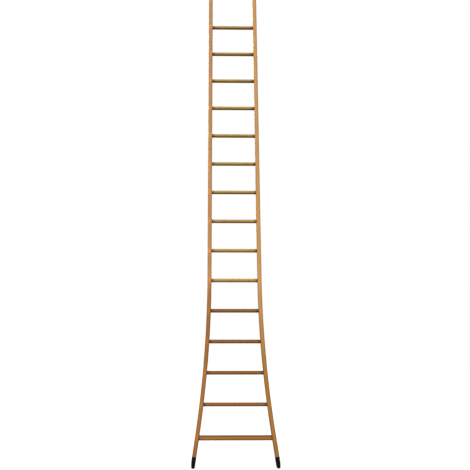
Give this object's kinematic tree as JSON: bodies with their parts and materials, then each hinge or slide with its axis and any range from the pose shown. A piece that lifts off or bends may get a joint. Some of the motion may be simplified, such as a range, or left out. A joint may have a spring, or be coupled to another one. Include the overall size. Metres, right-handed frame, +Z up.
{
  "type": "wooden ladder",
  "caption": "Tall wooden single ladder: round rungs between two slim stiles with rounded edges, which bend outwards at the base and end in black rubber feet.",
  "frame": {"origin": "on the floor midway between the two rubber feet, at the middle of the stiles' depth", "axes": "+Z up along the ladder, +X along the rungs to the right seen from the front, +Y from the front edges to the back edges"},
  "size_m": [0.7926, 0.065, 4.49],
  "materials": {
    "stile_wood": "varnished pine, satin",
    "rung_wood": "varnished turned beech, satin",
    "foot_rubber": "moulded, matt",
    "nail_steel": "drawn wire, flat heads, under the varnish in the wood and bare in the rubber"
  },
  "bodies": {
    "root": {"stile_left": "stile_wood", "foot_left": "foot_rubber", "foot_nail_left_inner": "nail_steel", "foot_nail_left_outer": "nail_steel", "stile_right": "stile_wood", "foot_right": "foot_rubber", "foot_nail_right_inner": "nail_steel", "foot_nail_right_outer": "nail_steel", "rung_01": "rung_wood", "rung_nail_01_left": "nail_steel", "rung_nail_01_right": "nail_steel", "rung_02": "rung_wood", "rung_nail_02_left": "nail_steel", "rung_nail_02_right": "nail_steel", "rung_03": "rung_wood", "rung_nail_03_left": "nail_steel", "rung_nail_03_right": "nail_steel", "rung_04": "rung_wood", "rung_nail_04_left": "nail_steel", "rung_nail_04_right": "nail_steel", "rung_05": "rung_wood", "rung_nail_05_left": "nail_steel", "rung_nail_05_right": "nail_steel", "rung_06": "rung_wood", "rung_nail_06_left": "nail_steel", "rung_nail_06_right": "nail_steel", "rung_07": "rung_wood", "rung_nail_07_left": "nail_steel", "rung_nail_07_right": "nail_steel", "rung_08": "rung_wood", "rung_nail_08_left": "nail_steel", "rung_nail_08_right": "nail_steel", "rung_09": "rung_wood", "rung_nail_09_left": "nail_steel", "rung_nail_09_right": "nail_steel", "rung_10": "rung_wood", "rung_nail_10_left": "nail_steel", "rung_nail_10_right": "nail_steel", "rung_11": "rung_wood", "rung_nail_11_left": "nail_steel", "rung_nail_11_right": "nail_steel", "rung_12": "rung_wood", "rung_nail_12_left": "nail_steel", "rung_nail_12_right": "nail_steel", "rung_13": "rung_wood", "rung_nail_13_left": "nail_steel", "rung_nail_13_right": "nail_steel", "rung_14": "rung_wood", "rung_nail_14_left": "nail_steel", "rung_nail_14_right": "nail_steel", "rung_15": "rung_wood", "rung_nail_15_left": "nail_steel", "rung_nail_15_right": "nail_steel"}
  },
  "joints": []
}
